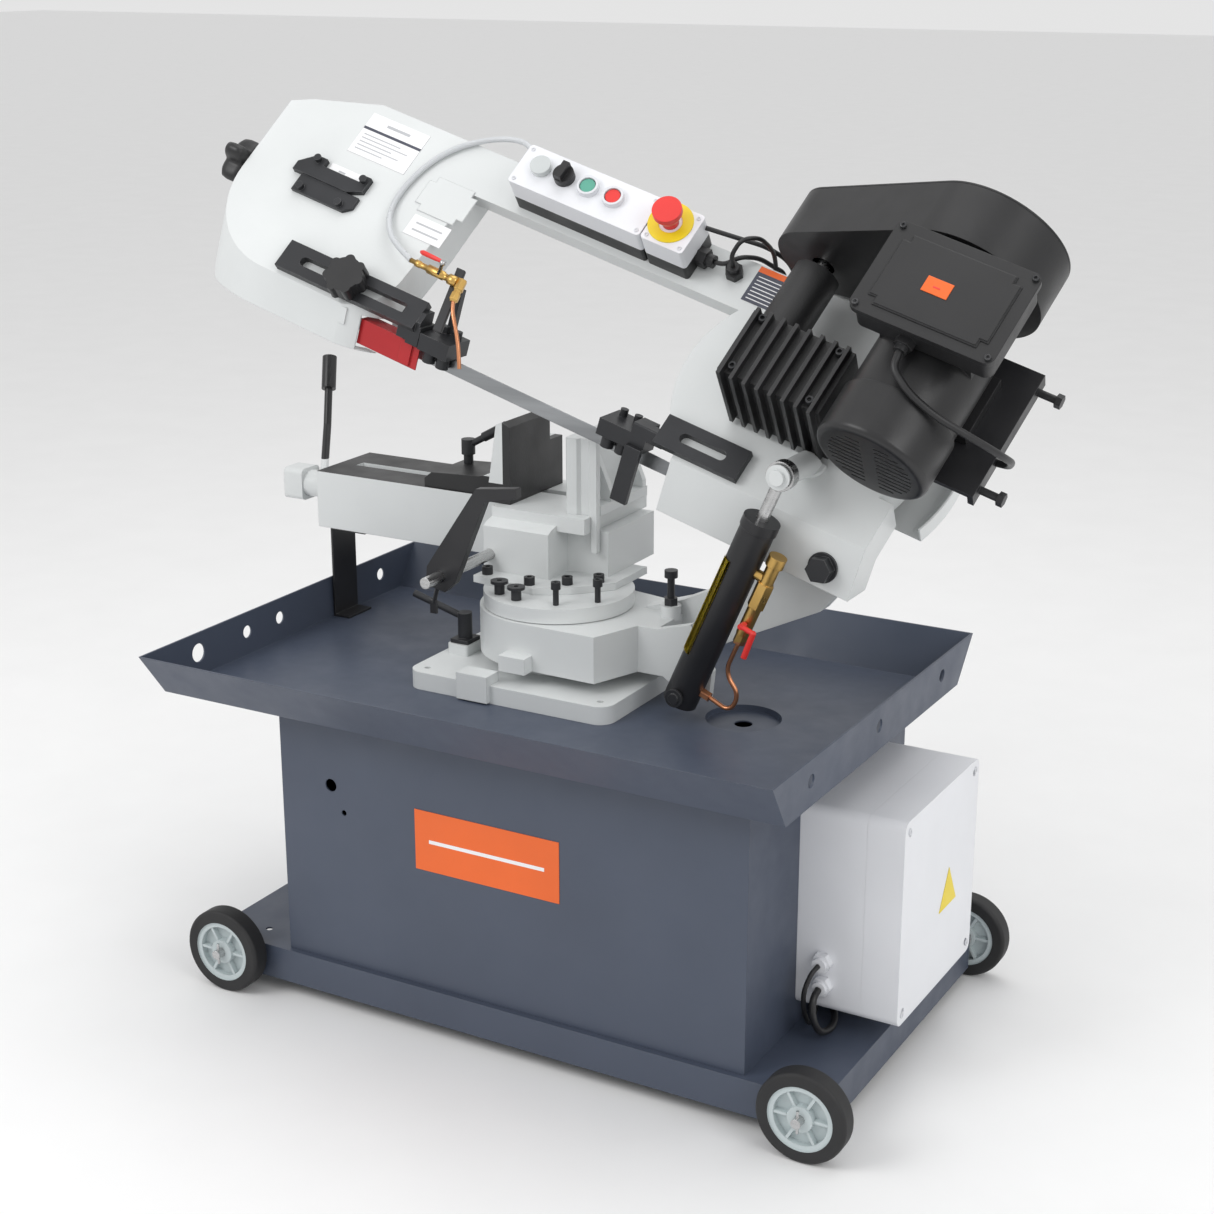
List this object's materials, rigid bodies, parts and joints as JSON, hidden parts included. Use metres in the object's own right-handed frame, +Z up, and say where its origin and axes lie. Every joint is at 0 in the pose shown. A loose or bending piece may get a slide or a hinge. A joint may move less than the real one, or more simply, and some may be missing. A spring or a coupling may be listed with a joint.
{
  "type": "metal-cutting band saw",
  "caption": "Swivel-head metal-cutting band saw: cast bow with blade guides, motor and worm drive on a hinged arm over a bench vise, on a tray and wheeled cabinet.",
  "frame": {"origin": "centre of the bounding box in plan, on the floor", "axes": "+Z up, +X along the machine from the tension knob to the motor, +Y to the back; the operator stands at -Y"},
  "size_m": [1.257, 0.646, 1.1866],
  "materials": {
    "stand_paint": "satin dark blue-grey powder coat",
    "casting_paint": "satin off-white paint on cast iron",
    "black_paint": "satin black paint",
    "tyre_rubber": "matte black rubber with grey plastic hub",
    "black_iron": "black oxide, ground",
    "black_plastic": "fine-grained black plastic",
    "white_plastic": "white moulded plastic",
    "steel": "turned steel",
    "blade_steel": "blued spring steel",
    "brass": "dull brass",
    "red_paint": "gloss red",
    "red_plastic": "red plastic",
    "green_plastic": "green plastic",
    "motor_paint": "satin black on aluminium and steel",
    "cast_aluminium": "black painted aluminium casting",
    "belt_rubber": "matte rubber",
    "bronze": "machined bronze"
  },
  "bodies": {
    "stand": {"base_pan": "stand_paint", "axles": "steel", "cabinet": "stand_paint", "tray": "stand_paint", "electrical_box": "white_plastic", "electrical_box_lid": "white_plastic", "swivel_base": "casting_paint", "vise_turntable": "casting_paint", "turntable_screws": "black_iron", "vise_base": "casting_paint", "vise_bed": "casting_paint", "bed_leg": "black_paint", "fixed_jaw": "casting_paint", "box_cables": "black_plastic"},
    "vise_crank": {"vise_screw": "steel", "vise_crank": "casting_paint"},
    "movable_jaw": {"movable_jaw": "casting_paint"},
    "jaw_lock_lever": {"jaw_lock_lever": "black_iron"},
    "work_stop_rod": {"work_stop_rod": "steel"},
    "work_stop_arm": {"work_stop_arm": "black_paint"},
    "swivel_lock_lever": {"swivel_lock_lever": "black_iron"},
    "swivel_arm": {"swivel_arm": "casting_paint", "hinge_shaft": "black_iron", "stop_bolts": "black_iron"},
    "cylinder": {"cylinder_barrel": "black_paint", "feed_valve": "brass"},
    "cylinder_rod": {"cylinder_rod": "steel"},
    "feed_valve_lever": {"feed_valve_lever": "red_plastic"},
    "bow": {"bow_frame": "casting_paint", "rear_covers": "casting_paint", "saw_blade": "blade_steel", "tracking_plates": "black_iron", "control_box": "white_plastic", "gearbox": "cast_aluminium", "motor": "motor_paint", "drive_belt": "belt_rubber", "belt_cover": "black_plastic", "motor_plate": "black_paint", "terminal_box": "black_plastic", "bow_cables": "black_plastic"},
    "belt_cover_door": {"belt_cover_door": "black_plastic"},
    "drive_wheel": {"drive_wheel": "black_iron", "worm_wheel": "bronze"},
    "tension_slide": {"tension_slide": "black_iron"},
    "idler_wheel": {"idler_wheel": "black_iron"},
    "tension_knob": {"tension_knob": "black_plastic"},
    "worm_shaft": {"worm_shaft": "steel"},
    "motor_rotor": {"motor_rotor": "steel"},
    "left_guide": {"left_guide": "black_iron", "blade_guard": "red_paint"},
    "guide_clamp_knob": {"guide_clamp_knob": "black_plastic"},
    "right_guide": {"right_guide": "black_iron"},
    "start_button": {"start_button": "green_plastic"},
    "stop_button": {"stop_button": "red_plastic"},
    "emergency_button": {"emergency_button": "red_plastic"},
    "selector_switch": {"selector_switch": "black_plastic"},
    "wheel_front_left": {"wheel_front_left": "tyre_rubber"},
    "wheel_front_right": {"wheel_front_right": "tyre_rubber"},
    "wheel_rear_left": {"wheel_rear_left": "tyre_rubber"},
    "wheel_rear_right": {"wheel_rear_right": "tyre_rubber"}
  },
  "joints": [
    {"name": "wheel_front_left_spin", "type": "hinge", "parent": "stand", "child": "wheel_front_left", "pos_m": [-0.39989, -0.257, 0.06], "axis": [0, 1, 0], "continuous": true},
    {"name": "wheel_front_right_spin", "type": "hinge", "parent": "stand", "child": "wheel_front_right", "pos_m": [0.48411, -0.257, 0.06], "axis": [0, 1, 0], "continuous": true},
    {"name": "wheel_rear_left_spin", "type": "hinge", "parent": "stand", "child": "wheel_rear_left", "pos_m": [-0.39989, 0.297, 0.06], "axis": [0, 1, 0], "continuous": true},
    {"name": "wheel_rear_right_spin", "type": "hinge", "parent": "stand", "child": "wheel_rear_right", "pos_m": [0.48411, 0.297, 0.06], "axis": [0, 1, 0], "continuous": true},
    {"name": "vise_crank_turn", "type": "hinge", "parent": "stand", "child": "vise_crank", "pos_m": [-0.47789, 0.1585, 0.622], "axis": [-1, 0, 0], "continuous": true},
    {"name": "movable_jaw_slide", "type": "slide", "parent": "stand", "child": "movable_jaw", "axis": [-1, 0, 0], "range_m": [-0.087, 0.165]},
    {"name": "jaw_lock_lever_turn", "type": "hinge", "parent": "movable_jaw", "child": "jaw_lock_lever", "pos_m": [-0.25389, 0.1585, 0.662], "axis": [0, 0, 1], "range_deg": [-20, 60]},
    {"name": "work_stop_rod_slide", "type": "slide", "parent": "stand", "child": "work_stop_rod", "axis": [0, -1, 0], "range_m": [-0.02, 0.04]},
    {"name": "work_stop_arm_turn", "type": "hinge", "parent": "work_stop_rod", "child": "work_stop_arm", "pos_m": [-0.13589, -0.09, 0.6], "axis": [0, -1, 0], "range_deg": [0, 90]},
    {"name": "swivel_lock_lever_turn", "type": "hinge", "parent": "stand", "child": "swivel_lock_lever", "pos_m": [-0.15789, -0.004, 0.465], "axis": [0, 0, 1], "range_deg": [-30, 40]},
    {"name": "head_swivel", "type": "hinge", "parent": "stand", "child": "swivel_arm", "pos_m": [-0.02989, 0.036, 0.465], "axis": [0, 0, 1], "range_deg": [0, 45]},
    {"name": "bow_hinge", "type": "hinge", "parent": "swivel_arm", "child": "bow", "pos_m": [0.3711, 0.036, 0.66136], "axis": [0, 1, 0], "range_deg": [-19.5, 28]},
    {"name": "cylinder_swing", "type": "hinge", "parent": "swivel_arm", "child": "cylinder", "pos_m": [0.19711, -0.03, 0.477], "axis": [0, 1, 0], "range_deg": [-15, 15]},
    {"name": "cylinder_rod_slide", "type": "slide", "parent": "cylinder", "child": "cylinder_rod", "axis": [0.3972, 0, 0.9177], "range_m": [-0.06, 0.06]},
    {"name": "feed_valve_lever_turn", "type": "hinge", "parent": "cylinder", "child": "feed_valve_lever", "pos_m": [0.28692, -0.0404, 0.58632], "axis": [0, -1, 0], "range_deg": [0, 90]},
    {"name": "drive_wheel_spin", "type": "hinge", "parent": "bow", "child": "drive_wheel", "pos_m": [0.28294, 0.13148, 0.8142], "axis": [0.1994, -0.7314, 0.6522], "continuous": true},
    {"name": "tension_slide_move", "type": "slide", "parent": "bow", "child": "tension_slide", "axis": [0.9563, 0, -0.2924], "range_m": [0, 0.006]},
    {"name": "idler_wheel_spin", "type": "hinge", "parent": "tension_slide", "child": "idler_wheel", "pos_m": [-0.4236, 0.13148, 1.03021], "axis": [0.1994, -0.7314, 0.6522], "continuous": true},
    {"name": "tension_knob_turn", "type": "hinge", "parent": "bow", "child": "tension_knob", "pos_m": [-0.58664, 0.11502, 1.09611], "axis": [0.9563, 0, -0.2924], "range_deg": [0, 1080]},
    {"name": "worm_shaft_spin", "type": "hinge", "parent": "bow", "child": "worm_shaft", "pos_m": [0.26909, 0.09488, 0.93992], "axis": [0.2138, 0.682, 0.6994], "continuous": true},
    {"name": "motor_rotor_spin", "type": "hinge", "parent": "bow", "child": "motor_rotor", "pos_m": [0.49431, 0.03344, 0.93097], "axis": [0.2138, 0.682, 0.6994], "continuous": true},
    {"name": "left_guide_slide", "type": "slide", "parent": "bow", "child": "left_guide", "axis": [0.9563, 0, -0.2924], "range_m": [-0.04, 0.07]},
    {"name": "guide_clamp_knob_turn", "type": "hinge", "parent": "bow", "child": "guide_clamp_knob", "pos_m": [-0.35272, 0.02584, 0.95142], "axis": [0.1994, -0.7314, 0.6522], "range_deg": [-20, 180]},
    {"name": "right_guide_slide", "type": "slide", "parent": "bow", "child": "right_guide", "axis": [0.9563, 0, -0.2924], "range_m": [-0.012, 0.015]},
    {"name": "start_button_press", "type": "slide", "parent": "bow", "child": "start_button", "axis": [-0.1994, 0.7314, -0.6522], "range_m": [0, 0.003], "stiffness_N_per_m": 800},
    {"name": "stop_button_press", "type": "slide", "parent": "bow", "child": "stop_button", "axis": [-0.1994, 0.7314, -0.6522], "range_m": [0, 0.003], "stiffness_N_per_m": 800},
    {"name": "emergency_button_press", "type": "slide", "parent": "bow", "child": "emergency_button", "axis": [-0.1994, 0.7314, -0.6522], "range_m": [0, 0.006], "stiffness_N_per_m": 800},
    {"name": "selector_switch_turn", "type": "hinge", "parent": "bow", "child": "selector_switch", "pos_m": [-0.08311, 0.14827, 1.10134], "axis": [0.1994, -0.7314, 0.6522], "range_deg": [-45, 45]},
    {"name": "belt_cover_door_swing", "type": "hinge", "parent": "bow", "child": "belt_cover_door", "pos_m": [0.30414, 0.26022, 1.01426], "axis": [-0.9757, 0.1843, 0.1185], "range_deg": [0, 100]}
  ],
  "couplings": [
    {"joint": "cylinder_swing", "follows": "bow_hinge", "ratio": 0.29115},
    {"joint": "cylinder_rod_slide", "follows": "bow_hinge", "m_per_rad": 0.080878},
    {"joint": "drive_wheel_spin", "follows": "worm_shaft_spin", "ratio": 0.033333},
    {"joint": "idler_wheel_spin", "follows": "worm_shaft_spin", "ratio": 0.033333},
    {"joint": "motor_rotor_spin", "follows": "worm_shaft_spin", "ratio": 1.4706},
    {"joint": "tension_slide_move", "follows": "tension_knob_turn", "m_per_rad": 0.00031831}
  ]
}
